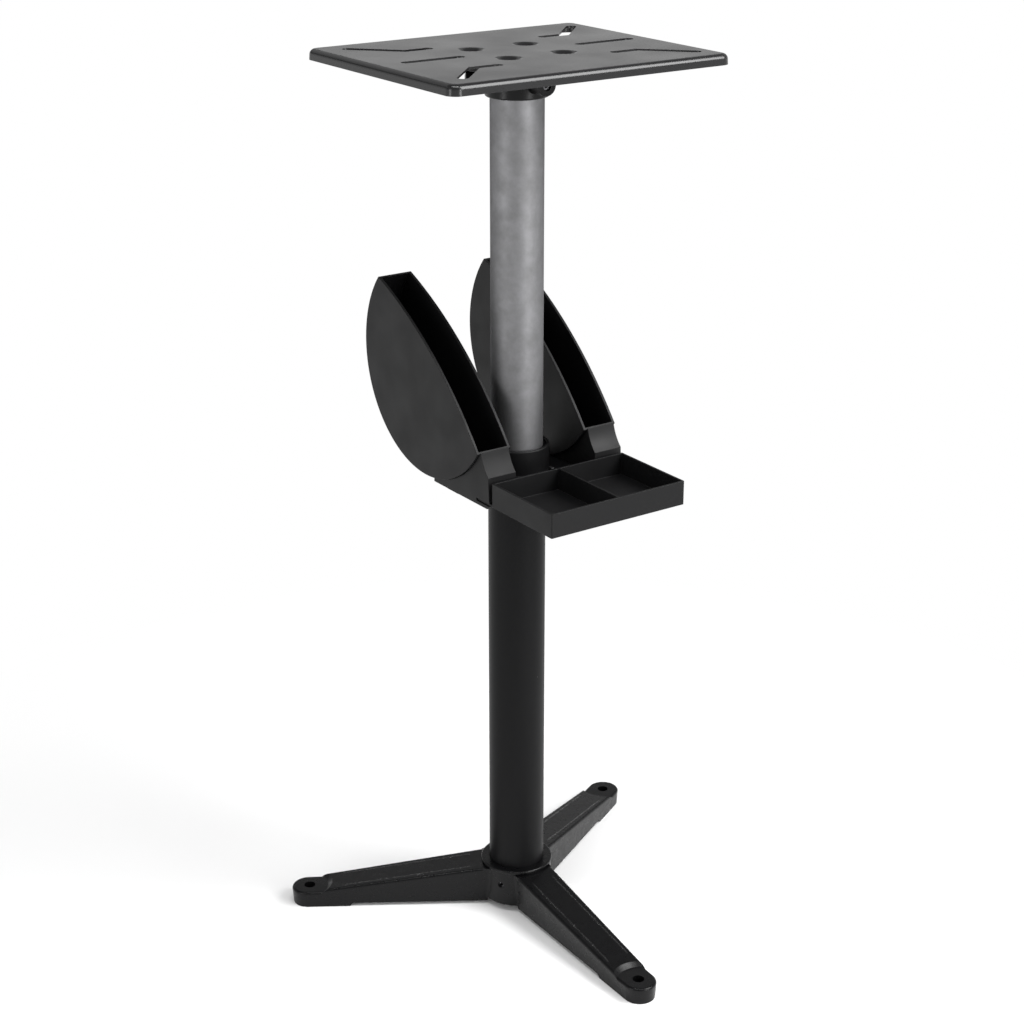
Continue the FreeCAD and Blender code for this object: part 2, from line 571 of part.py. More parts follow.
def make_top_flange():
    """Cast flange: collar on the upper tube, disc under the plate, a boss per set screw."""
    body = new_body("top_flange")
    collar = new_sketch(body, "flange_collar_plan", "XY_Plane", offset=FLANGE_FOOT)
    draw_circle(collar, "Size.flange_collar_radius")
    pad(body, "flange_collar", collar, "Size.flange_length")
    disc = new_sketch(body, "flange_disc_plan", "XY_Plane", offset=UNDER_PLATE)
    draw_circle(disc, "Size.flange_disc_radius")
    pad(body, "flange_disc", disc, "Size.flange_disc_thickness", reversed_=True)
    boss = new_sketch(body, "flange_boss_section", "YZ_Plane")
    draw_circle(boss, "Size.flange_boss_radius", y=BOSS_Z)
    boss_pad = pad(body, "flange_boss", boss, "Size.flange_boss_reach")
    around_post(body, "flange_bosses", [boss_pad], "Size.set_screws")

    lower_rim = level_at(size("table_top_z") - size("plate_sheet") - size("flange_length"))
    round_edges(body, "flange_round", lower_rim, "Size.collar_round")
    bore = new_sketch(body, "flange_bore_plan", "XY_Plane", offset=FLANGE_FOOT)
    draw_circle(bore, "(Size.post_radius + Size.flange_fit)")
    pocket(body, "flange_bore", bore, "Size.flange_bore_depth", reversed_=True)
    tapped = new_sketch(body, "flange_tap_section", "YZ_Plane")
    draw_circle(tapped, "Size.flange_screw_radius", y=BOSS_Z)
    tap_cut = pocket(body, "flange_tap", tapped, "2 * Size.flange_boss_reach", reversed_=True)
    around_post(body, "flange_taps", [tap_cut], "Size.set_screws")

    seat = new_sketch(body, "seat_section", "XZ_Plane", shift_x="Size.screw_square / 2",
                      offset="-Size.screw_square / 2")
    step = f"({SCREW_HEAD_FOOT} - Size.seat_gap)"
    draw_polygon(seat, [
        ("0", FLANGE_FOOT), ("Size.plate_screw_radius", FLANGE_FOOT), ("Size.plate_screw_radius", step),
        ("(Size.screw_head_radius + Size.seat_gap)", step),
        ("(Size.dimple_radius + Size.seat_gap)", UNDER_PLATE), ("0", UNDER_PLATE)])
    seat_cut = spin(body, "Groove", "screw_seat", seat)
    around_post(body, "screw_seats", [seat_cut], "4")
    body.Placement = Placement(Vector(0, 0, 0), Rotation(Vector(0, 0, 1), FIRST_BOSS))
    return body


def make_top_plate():
    """Pressed plate: rolled and flared skirt, four sunk screw dimples, six round-ended slots."""
    body = new_body("top_plate")
    foot = "(Size.table_top_z - Size.plate_skirt)"

    def plate_blank(name, inset):
        """Plan at the skirt's lower edge, smaller by inset all round."""
        plan = new_sketch(body, f"{name}_plan", "XY_Plane", offset=foot)
        half_x, half_y = f"(Size.plate_width / 2 - {inset})", f"(Size.plate_depth / 2 - {inset})"
        draw_rounded_rectangle(plan, half_x, half_y, f"(Size.plate_corner - {inset})")
        return plan

    pad(body, "plate_block", plate_blank("plate_outer", "0"), "Size.plate_skirt",
        draft="-Size.plate_flare")
    round_edges(body, "plate_edge", level_at(size("table_top_z")), "Size.plate_roll")
    pocket(body, "plate_hollow", plate_blank("plate_inner", "Size.plate_sheet"),
           "(Size.plate_skirt - Size.plate_sheet)", reversed_=True, draft="-Size.plate_flare")
    hollow_top = level_at(size("table_top_z") - size("plate_sheet"))
    round_edges(body, "hollow_edge", hollow_top, "(Size.plate_roll - Size.plate_sheet)")

    dimple = new_sketch(body, "dimple_section", "XZ_Plane", shift_x="Size.screw_square / 2",
                        offset="-Size.screw_square / 2")
    sunk = f"({DIMPLE_FLOOR} - Size.plate_sheet)"
    inside = f"{UNDER_PLATE} + Size.plate_sheet / 2"
    draw_polygon(dimple, [
        ("0", inside), ("0", sunk), ("Size.screw_head_radius", sunk),
        ("Size.dimple_radius", UNDER_PLATE), ("Size.dimple_radius", inside)])
    dimple_add = spin(body, "Revolution", "dimple", dimple)
    sink = new_sketch(body, "sink_section", "XZ_Plane", shift_x="Size.screw_square / 2",
                      offset="-Size.screw_square / 2")
    neck = "(Size.plate_screw_radius + Size.seat_gap)"
    draw_polygon(sink, [
        ("0", "(Size.table_top_z - Size.plate_skirt)"), (neck, "(Size.table_top_z - Size.plate_skirt)"),
        (neck, SCREW_HEAD_FOOT), ("(Size.screw_head_radius + Size.seat_gap)", DIMPLE_FLOOR),
        ("Size.dimple_radius", "Size.table_top_z"), ("0", "Size.table_top_z")])
    sink_cut = spin(body, "Groove", "sink", sink)
    around_post(body, "dimples", [dimple_add, sink_cut], "4")

    half = "(Size.slot_width / 2)"
    lean = "tan(Size.corner_slot_angle / 2 * 1 deg)"
    along_x = "cos(Size.corner_slot_angle * 1 deg)"
    along_y = "sin(Size.corner_slot_angle * 1 deg)"
    end_x = f"(Size.corner_slot_bend + Size.corner_slot_run * {along_x})"
    end_y = f"(Size.corner_slot_y + Size.corner_slot_run * {along_y})"

    def across(sign, x):
        """Place along X, to one side of the slots' middle."""
        return f"(Size.slot_shift + {sign} * {x})"

    def draw_bent_slot(sketch, sx, sy):
        """Bent slot without its round ends, in the quadrant given by two signs."""
        draw_polygon(sketch, [(across(sx, x), f"{sy} * {y}") for x, y in (
            ("Size.corner_slot_near", f"(Size.corner_slot_y - {half})"),
            (f"(Size.corner_slot_bend + {half} * {lean})", f"(Size.corner_slot_y - {half})"),
            (f"({end_x} + {half} * {along_y})", f"({end_y} - {half} * {along_x})"),
            (f"({end_x} - {half} * {along_y})", f"({end_y} + {half} * {along_x})"),
            (f"(Size.corner_slot_bend - {half} * {lean})", f"(Size.corner_slot_y + {half})"),
            ("Size.corner_slot_near", f"(Size.corner_slot_y + {half})"))])

    slots = new_sketch(body, "slot_plan", "XY_Plane", offset="Size.table_top_z")
    ends = new_sketch(body, "slot_end_plan", "XY_Plane", offset="Size.table_top_z")
    for sx in ("1", "-1"):
        near, far = across(sx, "Size.mid_slot_near"), across(sx, "Size.mid_slot_far")
        draw_rectangle(slots, near, f"-{half}", far, half)
        draw_circle(ends, half, x=near)
        draw_circle(ends, half, x=far)
        for sy in ("1", "-1"):
            draw_bent_slot(slots, sx, sy)
            draw_circle(ends, half, x=across(sx, "Size.corner_slot_near"), y=f"{sy} * Size.corner_slot_y")
            draw_circle(ends, half, x=across(sx, end_x), y=f"{sy} * {end_y}")
    pocket(body, "slots", slots, "Size.plate_skirt")
    pocket(body, "slot_ends", ends, "Size.plate_skirt")
    return body


def make_plate_screws():
    """Four flat-head screws with cross recesses, sunk in the plate's dimples."""
    body = new_body("plate_screws")
    section = new_sketch(body, "plate_screw_section", "XZ_Plane", shift_x="Size.screw_square / 2",
                         offset="-Size.screw_square / 2")
    tip = f"({UNDER_PLATE} - Size.flange_disc_thickness)"
    draw_polygon(section, [
        ("0", tip), ("Size.plate_screw_radius", tip), ("Size.plate_screw_radius", SCREW_HEAD_FOOT),
        ("Size.screw_head_radius", DIMPLE_FLOOR), ("0", DIMPLE_FLOOR)])
    screw = spin(body, "Revolution", "plate_screw", section)
    cuts = []
    for number, (span_x, span_y) in enumerate((("Size.screw_cross", "Size.screw_slot"),
                                               ("Size.screw_slot", "Size.screw_cross")), start=1):
        recess = new_sketch(body, f"recess_plan_{number}", "XY_Plane", offset=DIMPLE_FLOOR,
                            shift_x="Size.screw_square / 2", shift_y="Size.screw_square / 2")
        draw_rectangle(recess, f"-{span_x} / 2", f"-{span_y} / 2", f"{span_x} / 2", f"{span_y} / 2")
        cuts.append(pocket(body, f"recess_{number}", recess, "Size.screw_cross_depth"))
    around_post(body, "plate_screw_ring", [screw] + cuts, "4")
    return body


# ---- moulded carrier, pockets and tray -------------------------------------

def draw_wheel_circle(sketch, radius):
    """Circle about a pocket's wheel axis, seen from the side."""
    draw_circle(sketch, radius, x="Size.pocket_axis_y", y="Size.pocket_axis_z")


def make_carrier():
    """Deck with a collar round the column, a cradle under each pocket and a clip for the tray."""
    body = new_body("carrier")
    deck = new_sketch(body, "deck_section", "YZ_Plane")
    deck_top = "(Size.carrier_z + Size.deck_thickness)"
    draw_polygon(deck, [
        ("-Size.carrier_front", "Size.carrier_z"), ("(Size.deck_foot - Size.carrier_front)", CARRIER_FOOT),
        ("Size.carrier_back", CARRIER_FOOT), ("Size.carrier_back", deck_top),
        ("-Size.carrier_front", deck_top)])
    pad(body, "deck", deck, "Size.carrier_width", middle=True)
    collar = new_sketch(body, "collar_plan", "XY_Plane", offset="Size.carrier_z")
    draw_circle(collar, "Size.collar_radius")
    pad(body, "collar", collar, "(Size.collar_top_z - Size.carrier_z)")

    # Sloping face of a cradle, from its foot to its nose, and the round cutter that hollows it.
    foot = "(Size.cradle_face_lean - Size.carrier_front)"
    nose = (f"(Size.pocket_axis_y - Size.cradle_nose"
            f" - sqrt({SEAT_RADIUS} ^ 2 - (Size.pocket_axis_z - Size.cradle_top_z) ^ 2))")
    run, rise = f"({nose} - {foot})", "(Size.cradle_top_z - Size.cradle_face_z)"
    slope = f"sqrt({run} ^ 2 + {rise} ^ 2)"
    cutter = f"(({slope} ^ 2 / 4 + Size.cradle_hollow ^ 2) / (2 * Size.cradle_hollow))"
    away = f"(({cutter} - Size.cradle_hollow) / {slope})"
    cutter_y = f"(({foot} + {nose}) / 2 - {away} * {rise})"
    cutter_z = f"((Size.cradle_face_z + Size.cradle_top_z) / 2 + {away} * {run})"

    for side, name in (("-1", "left"), ("1", "right")):
        middle = f"{side} * {CRADLE_MIDDLE}"
        cradle = new_sketch(body, f"cradle_section_{name}", "YZ_Plane", offset=middle)
        draw_polygon(cradle, [
            ("-Size.carrier_front", "Size.carrier_z"), (foot, "Size.cradle_face_z"),
            (nose, "Size.cradle_top_z"), ("Size.carrier_back", "Size.cradle_top_z"),
            ("Size.carrier_back", "Size.carrier_z")])
        pad(body, f"cradle_{name}", cradle, "Size.cradle_width", middle=True)
        hollow = new_sketch(body, f"cradle_hollow_{name}", "YZ_Plane", offset=middle)
        draw_circle(hollow, cutter, x=cutter_y, y=cutter_z)
        pocket(body, f"slope_{name}", hollow, "2 * Size.cradle_width", middle=True)
        seat = new_sketch(body, f"cradle_seat_{name}", "YZ_Plane", offset=f"{side} * {POCKET_MIDDLE}")
        draw_wheel_circle(seat, SEAT_RADIUS)
        pocket(body, f"seat_{name}", seat, "(Size.pocket_width + 2 * Size.moulding_gap)", middle=True)
        slot = new_sketch(body, f"latch_slot_{name}", "XY_Plane", offset=CARRIER_FOOT)
        outer = f"({CARRIER_SIDE} - Size.latch_inset + Size.moulding_gap)"
        inner = f"({outer} - Size.latch_tab - 2 * Size.moulding_gap)"
        reach = "(Size.latch_length / 2 + Size.moulding_gap)"
        draw_rectangle(slot, f"{side} * {inner}", f"-{reach}", f"{side} * {outer}", reach)
        pocket(body, f"latch_way_{name}", slot, f"Size.collar_top_z - {CARRIER_FOOT}", reversed_=True)

    clip = new_sketch(body, "clip_section", "YZ_Plane", offset="Size.clip_x")
    back = "(Size.clip_thickness - Size.carrier_front)"
    over = f"({TRAY_TOP} + Size.moulding_gap)"
    hook = f"({TRAY_BACK} - Size.tray_wall / 2)"
    draw_polygon(clip, [
        ("-Size.carrier_front", "Size.carrier_z + Size.deck_thickness / 2"),
        ("-Size.carrier_front", over), (hook, over), (hook, f"({over} + Size.clip_lip / 2)"),
        (f"{TRAY_BACK}", f"({over} + Size.clip_lip)"), (back, f"({over} + Size.clip_lip)"),
        (back, "Size.carrier_z + Size.deck_thickness / 2")])
    pad(body, "clip", clip, "Size.clip_width", middle=True)

    rebate = new_sketch(body, "rebate_section", "YZ_Plane")
    rebate_back = f"({TRAY_BACK} + Size.tongue_length + Size.moulding_gap)"
    rebate_top = "(Size.carrier_z + Size.tongue_thickness + Size.moulding_gap)"
    draw_rectangle(rebate, TRAY_BACK, "Size.carrier_z - Size.moulding_gap", rebate_back, rebate_top)
    pocket(body, "rebate", rebate, "2 * Size.carrier_width", middle=True)

    bore = new_sketch(body, "collar_bore_plan", "XY_Plane")
    draw_circle(bore, "(Size.column_radius + Size.collar_fit)")
    pocket(body, "collar_bore", bore, "Size.table_top_z", reversed_=True)

    round_edges(body, "collar_rounds", level_at(size("collar_top_z")), "Size.collar_round")
    pin = new_sketch(body, "collar_pin_section", "XZ_Plane")
    draw_circle(pin, "Size.carrier_screw_radius", y="Size.carrier_screw_z")
    pocket(body, "collar_pin_hole", pin, "2 * Size.collar_radius", reversed_=False)
    return body


def make_carrier_screw():
    """Pan-head screw through the back of the collar into the column."""
    body = new_body("carrier_screw")
    tip = f"({COLUMN_BORE} + Size.moulding_gap)"
    seat = "Size.collar_radius"
    section = new_sketch(body, "carrier_screw_section", "XZ_Plane", offset=f"-{tip}")
    draw_circle(section, "Size.carrier_screw_radius", y="Size.carrier_screw_z")
    pad(body, "carrier_screw_shank", section, f"({seat} - {tip})", reversed_=True)
    head = new_sketch(body, "carrier_screw_head_section", "XZ_Plane", offset=f"-{seat}")
    draw_circle(head, "Size.carrier_screw_head", y="Size.carrier_screw_z")
    pad(body, "carrier_screw_pan", head, "Size.carrier_screw_radius", reversed_=True)

    def pan_rim(edge):
        return abs(middle_of(edge).y - size("collar_radius") - size("carrier_screw_radius")) < 0.01

    round_edges(body, "pan_round", pan_rim, "Size.carrier_screw_radius * 0.6")
    return body


def make_pocket(name, side):
    """Pocket for one spare wheel: a round trough between two panels, open along its rim."""
    body = new_body(name)
    middle = f"{side} * {POCKET_MIDDLE}"
    blank = new_sketch(body, f"{name}_side", "YZ_Plane", offset=middle)
    draw_wheel_circle(blank, POCKET_RADIUS)
    pad(body, f"{name}_blank", blank, "Size.pocket_width", middle=True)

    latch = new_sketch(body, f"{name}_latch_section", "XZ_Plane")
    outer = f"({CARRIER_SIDE} - Size.latch_inset)"
    inner = f"({outer} - Size.latch_tab)"
    catch = f"({CARRIER_FOOT} - Size.moulding_gap)"
    foot = f"({catch} - Size.latch_drop)"
    rise = "(Size.pocket_axis_z - Size.wheel_radius + 2 * Size.latch_length)"
    draw_polygon(latch, [(f"{side} * {x}", z) for x, z in (
        (inner, foot), (outer, foot), (f"({outer} + Size.latch_lip)", catch), (outer, catch),
        (outer, rise), (inner, rise))])
    pad(body, f"{name}_latch", latch, "Size.latch_length", middle=True)

    hollow = new_sketch(body, f"{name}_hollow_side", "YZ_Plane", offset=middle)
    draw_wheel_circle(hollow, "Size.wheel_radius")
    pocket(body, f"{name}_hollow", hollow, "(Size.pocket_width - 2 * Size.pocket_panel)", middle=True)

    mouth = new_sketch(body, f"{name}_mouth_side", "YZ_Plane", offset=middle)
    drop = f"({RIM_RADIUS} - Size.rim_bulge - Size.rim_rise)"
    centre_y = f"(Size.pocket_axis_y + {drop} * sin(Size.rim_tilt * 1 deg))"
    centre_z = f"(Size.pocket_axis_z - {drop} * cos(Size.rim_tilt * 1 deg))"
    draw_circle(mouth, RIM_RADIUS, x=centre_y, y=centre_z)
    far = f"(2 * {RIM_RADIUS})"
    draw_rectangle(mouth, f"({centre_y} - {far})", f"({centre_z} - {far})",
                   f"({centre_y} + {far})", f"({centre_z} + {far})")
    pocket(body, f"{name}_mouth", mouth, "2 * Size.pocket_width", middle=True)
    return body


def make_tray():
    """Parts tray with two compartments and a tongue that fits under the carrier."""
    body = new_body("tray")
    plan = new_sketch(body, "tray_plan", "XY_Plane", offset="Size.carrier_z")
    draw_rectangle(plan, f"-{TRAY_SIDE}", TRAY_FRONT, TRAY_SIDE, TRAY_BACK)
    pad(body, "tray_block", plan, "Size.tray_height")

    def outer_corner(edge):
        return abs(spread(edge, "Z") - size("tray_height")) < 0.01

    round_edges(body, "tray_corners", outer_corner, "Size.tray_corner")
    floor = "(Size.carrier_z + Size.tray_floor)"
    wells = new_sketch(body, "tray_wells_plan", "XY_Plane", offset=floor)
    for side in ("-1", "1"):
        draw_rectangle(wells, f"{side} * Size.tray_divider / 2", f"({TRAY_FRONT} + Size.tray_wall)",
                       f"{side} * ({TRAY_SIDE} - Size.tray_wall)", f"({TRAY_BACK} - Size.tray_wall)")
    pocket(body, "tray_wells", wells, "Size.tray_height", reversed_=True)
    tongue = new_sketch(body, "tongue_plan", "XY_Plane", offset="Size.carrier_z")
    draw_rectangle(tongue, f"-{TRAY_SIDE}", f"({TRAY_BACK} - Size.tray_wall)",
                   TRAY_SIDE, f"({TRAY_BACK} + Size.tongue_length)")
    pad(body, "tongue", tongue, "Size.tongue_thickness")
    return body


# ---- build, check and export -----------------------------------------------

parts = [
    make_base_casting(),
    make_set_screws("hub_set_screws", "Size.hub_screw_radius", "Size.hub_screw_socket",
                    "Size.column_radius", "Size.hub_radius", "Size.hub_screw_z", FIRST_LEG + 60),
    make_lower_tube(),
    make_lock_nut(),
    make_lock_bolt(),
    make_tube("upper_tube", "Size.post_radius", "(Size.post_radius - Size.post_wall)",
              POST_FOOT, POST_HEAD),
    make_top_flange(),
    make_set_screws("flange_set_screws", "Size.flange_screw_radius", "Size.flange_screw_socket",
                    "(Size.post_radius + Size.tip_gap)", "Size.flange_boss_reach", BOSS_Z, FIRST_BOSS),
    make_top_plate(),
    make_plate_screws(),
    make_carrier(),
    make_carrier_screw(),
    make_pocket("pocket_left", "-1"),
    make_pocket("pocket_right", "1"),
    make_tray(),
]
doc.recompute()

for item in doc.Objects:
    if "Invalid" in item.State or "Error" in item.State:
        raise RuntimeError(f"{item.Label} failed: {item.State}")
for part in parts:
    if part.Shape.isNull() or not part.Shape.isValid():
        raise RuntimeError(f"{part.Label} has no valid shape")

os.makedirs("parts", exist_ok=True)
for part in parts:
    part.Shape.exportStep(f"parts/{part.Label}.step")
    box = part.Shape.BoundBox
    sides = "  ".join(f"{low:7.1f} {high:7.1f}" for low, high in
                      ((box.XMin, box.XMax), (box.YMin, box.YMax), (box.ZMin, box.ZMax)))
    print(f"{part.Label:20s} {len(part.Shape.Solids)} {part.Shape.Volume / 1000:8.1f} cm3  {sides}")
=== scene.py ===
import json
import math

import bmesh
import bpy
from mathutils import Matrix, Vector, noise


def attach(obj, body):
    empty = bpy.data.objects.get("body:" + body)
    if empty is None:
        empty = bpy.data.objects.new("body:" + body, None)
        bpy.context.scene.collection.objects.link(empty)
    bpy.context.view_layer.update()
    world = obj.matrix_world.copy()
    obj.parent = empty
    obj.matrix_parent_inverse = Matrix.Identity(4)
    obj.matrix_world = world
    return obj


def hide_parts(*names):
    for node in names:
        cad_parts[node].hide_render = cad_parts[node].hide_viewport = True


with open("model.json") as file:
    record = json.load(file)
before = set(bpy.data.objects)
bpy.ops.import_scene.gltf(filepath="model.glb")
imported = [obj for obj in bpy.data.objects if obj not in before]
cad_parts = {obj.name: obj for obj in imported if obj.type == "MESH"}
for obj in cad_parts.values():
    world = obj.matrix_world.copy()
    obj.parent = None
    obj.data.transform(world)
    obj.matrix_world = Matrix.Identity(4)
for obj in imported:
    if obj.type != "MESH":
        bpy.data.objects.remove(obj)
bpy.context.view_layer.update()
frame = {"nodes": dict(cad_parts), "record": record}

# Looks of the bench grinder stand. One Blender unit is a metre; MM turns millimetres into units.
MM = 0.001

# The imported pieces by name, and the moving body that each of them belongs to.
NODES = frame["nodes"]
BODIES = frame["record"]["behaviour"]["bodies"]
BODY_OF = {node: body for body, members in BODIES.items() for node in members}

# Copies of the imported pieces: points this close (mm) are one, faces this level (degrees) are one
# flat, and an edge is rounded from this angle (degrees) up.
MERGE_WITHIN = 0.002
FLAT_WITHIN = 0.3
SHARP_FROM = 32.0

# Cast foot, in millimetres and degrees: the lines that its rough edges follow.
FIRST_LEG = 28.3
LEG_COUNT = 3
HUB_RADIUS = 34.0
LEG_TOP_AT_HUB = 41.0
LEG_TOP_AT_STEP = 19.6
STEP_REACH = 187.0
FOOT_END_REACH = 206.5
LEG_ROOT_HALF_WIDTH = 17.4
FOOT_END_RADIUS = 14.8
LEG_DRAFT = 4.0
LEG_EDGE_ROUND = 2.6

# Parting flash along those lines, in millimetres. It starts and stops at these shares of the edge.
FLASH_FROM = 0.03
FLASH_TO = 0.95
FLASH_RADIUS = LEG_EDGE_ROUND - 0.1
FLASH_RISE = 0.85
FLASH_LUMP = 1.1
FLASH_STEP = 0.8
FLASH_FADE = 8.0
FLASH_END_DEPTH = 0.9
FLASH_SPOKES = 20

# Top plate, in millimetres: the dimples that its screws sit in.
PLATE_TOP = 830.0
SCREW_SQUARE = 56.6
DIMPLE_RADIUS = 10.2
DIMPLE_ROLL = 1.9
DIMPLE_ROLL_STEPS = 5

# Lock nut and bolt at the back of the column, in millimetres.
COLUMN_RADIUS = 26.5
LOCK_Z = 434.0
LOCK_FLATS = 17.0
LOCK_NUT_FACE = 35.5
LOCK_HEAD_FOOT = 41.5
LOCK_THREAD_RADIUS = 5.0
LOCK_THREAD_PITCH = 1.5
LOCK_THREAD_CREST = 0.42
LOCK_THREAD_STEPS = 36
WELD_RADIUS = 1.5
WELD_OUT = 0.3
WELD_LIFT = 0.2
WELD_CORNER = 1.1
WELD_RIPPLE = 0.16
WELD_RIPPLES = 40
WELD_STEPS = 120
BEAD_SPOKES = 12

# Floor, in metres: it keeps the shadow out to the first distance and is plain white from the second.
SHADOW_REACH = 0.26
WHITE_FROM = 0.8
FLOOR_RADIUS = 60.0

# World light. Matt faces see it fall off evenly from the horizon to overhead. Glossy faces see bands:
# at each pair of heights (sine of the angle above the horizon) it changes by the third number.
HORIZON_LIGHT = 0.72
OVERHEAD_LIGHT = 0.42
OVERHEAD_FROM = 0.9
GLOSS_HORIZON = 0.8
GLOSS_BANDS = ((0.18, 0.22, -0.65), (0.34, 0.42, 0.45), (0.55, 0.65, -0.35))


# ---- colours and node trees ------------------------------------------------

def linear(hex_colour):
    """Linear RGBA of an sRGB hex colour."""
    channels = [int(hex_colour[k:k + 2], 16) / 255 for k in (1, 3, 5)]
    return [c / 12.92 if c <= 0.04045 else ((c + 0.055) / 1.055) ** 2.4 for c in channels] + [1.0]


def add_node(tree, kind, settings=None, **inputs):
    """Adds a node, sets its properties, and sets or links its inputs.

    An input is given by its name, with _ for each space, or by its number after a _.
    A node given as an input is linked from its first output.
    """
    node = tree.nodes.new(kind)
    for name, value in (settings or {}).items():
        setattr(node, name, value)
    for name, value in inputs.items():
        socket = node.inputs[int(name[1:])] if name[0] == "_" else node.inputs[name.replace("_", " ")]
        if isinstance(value, bpy.types.Node):
            value = value.outputs[0]
        if isinstance(value, bpy.types.NodeSocket):
            tree.links.new(value, socket)
        else:
            socket.default_value = value
    return node


def start_material(name):
    """Empty material, its node tree and the object coordinates that its patterns are laid out in."""
    material = bpy.data.materials.new(name)
    material.use_nodes = True
    tree = material.node_tree
    tree.nodes.clear()
    return material, tree, add_node(tree, "ShaderNodeTexCoord").outputs["Object"]


def settled_dust(tree, where, spacing, radius):
    """Mask of pale specks of dust: one in about a third of the cells that are spacing across."""
    cells = add_node(tree, "ShaderNodeTexVoronoi", Vector=where, Scale=1 / (spacing * MM))
    reach = radius / spacing
    speck = add_node(tree, "ShaderNodeMapRange", _0=cells, _1=reach * 0.6, _2=reach, _3=1.0, _4=0.0)
    chosen = add_node(tree, "ShaderNodeMath", {"operation": "GREATER_THAN"}, _0=cells.outputs["Color"],
                      _1=0.62)
    return add_node(tree, "ShaderNodeMath", {"operation": "MULTIPLY"}, _0=speck, _1=chosen)


# ---- finishes --------------------------------------------------------------

def enamelled_cast_iron():
    """Black gloss enamel sprayed on sand-cast iron: soft gloss that breaks up over the sand's grain.

    The sand's grain is under half a millimetre; it is drawn at 1.6 mm, so that it shows.
    """
    material, tree, where = start_material("enamelled_cast_iron")
    sand = add_node(tree, "ShaderNodeTexNoise", Vector=where, Scale=1 / (1.6 * MM), Detail=2.0)
    lumps = add_node(tree, "ShaderNodeTexNoise", Vector=where, Scale=1 / (7 * MM), Detail=2.0)
    fine = add_node(tree, "ShaderNodeBump", Strength=0.3, Distance=0.12 * MM, Height=sand)
    coarse = add_node(tree, "ShaderNodeBump", Strength=0.3, Distance=0.3 * MM, Height=lumps, Normal=fine)
    gloss = add_node(tree, "ShaderNodeMapRange", _0=lumps, _1=0.3, _2=0.7, _3=0.24, _4=0.36)
    dust = settled_dust(tree, where, 19.0, 0.4)
    colour = add_node(tree, "ShaderNodeMix", {"data_type": "RGBA"}, _0=dust, _6=linear("#09090a"),
                      _7=linear("#b0aeaa"))
    shader = add_node(tree, "ShaderNodeBsdfPrincipled", Base_Color=colour.outputs[2], Roughness=gloss,
                      IOR=1.5, Specular_IOR_Level=0.2, Normal=coarse)
    add_node(tree, "ShaderNodeOutputMaterial", Surface=shader)
    return material


def enamel_on_flash():
    """The same enamel where it is thin over sharp casting flash: wet-looking, with bright points."""
    material, tree, where = start_material("enamel_on_casting_flash")
    points = add_node(tree, "ShaderNodeTexNoise", Vector=where, Scale=1 / (0.7 * MM), Detail=3.0)
    bump = add_node(tree, "ShaderNodeBump", Strength=0.9, Distance=0.3 * MM, Height=points)
    shader = add_node(tree, "ShaderNodeBsdfPrincipled", Base_Color=linear("#101011"), Roughness=0.16,
                      IOR=1.5, Specular_IOR_Level=0.9, Normal=bump)
    add_node(tree, "ShaderNodeOutputMaterial", Surface=shader)
    return material


def painted_tube():
    """Semi-gloss black paint on drawn steel tube: smooth, with faint orange peel."""
    material, tree, where = start_material("semi_gloss_painted_tube")
    peel = add_node(tree, "ShaderNodeTexNoise", Vector=where, Scale=1 / (2.5 * MM), Detail=1.0)
    bump = add_node(tree, "ShaderNodeBump", Strength=0.12, Distance=0.1 * MM, Height=peel)
    dust = settled_dust(tree, where, 23.0, 0.35)
    colour = add_node(tree, "ShaderNodeMix", {"data_type": "RGBA"}, _0=dust, _6=linear("#0d0d0e"),
                      _7=linear("#807e7a"))
    shader = add_node(tree, "ShaderNodeBsdfPrincipled", Base_Color=colour.outputs[2], Roughness=0.46,
                      IOR=1.5, Specular_IOR_Level=0.12, Normal=bump)
    add_node(tree, "ShaderNodeOutputMaterial", Surface=shader)
    return material


def powder_coated_plate():
    """Black gloss powder coat on pressed steel sheet: smooth, with orange peel about 3 mm across."""
    material, tree, where = start_material("gloss_powder_coat")
    peel = add_node(tree, "ShaderNodeTexNoise", Vector=where, Scale=1 / (3 * MM), Detail=1.0)
    bump = add_node(tree, "ShaderNodeBump", Strength=0.03, Distance=0.05 * MM, Height=peel)
    clouds = add_node(tree, "ShaderNodeTexNoise", Vector=where, Scale=1 / (60 * MM), Detail=2.0)
    gloss = add_node(tree, "ShaderNodeMapRange", _0=clouds, _1=0.3, _2=0.7, _3=0.2, _4=0.26)
    shader = add_node(tree, "ShaderNodeBsdfPrincipled", Base_Color=linear("#151516"), Roughness=gloss,
                      IOR=1.5, Specular_IOR_Level=0.42, Normal=bump)
    add_node(tree, "ShaderNodeOutputMaterial", Surface=shader)
    return material


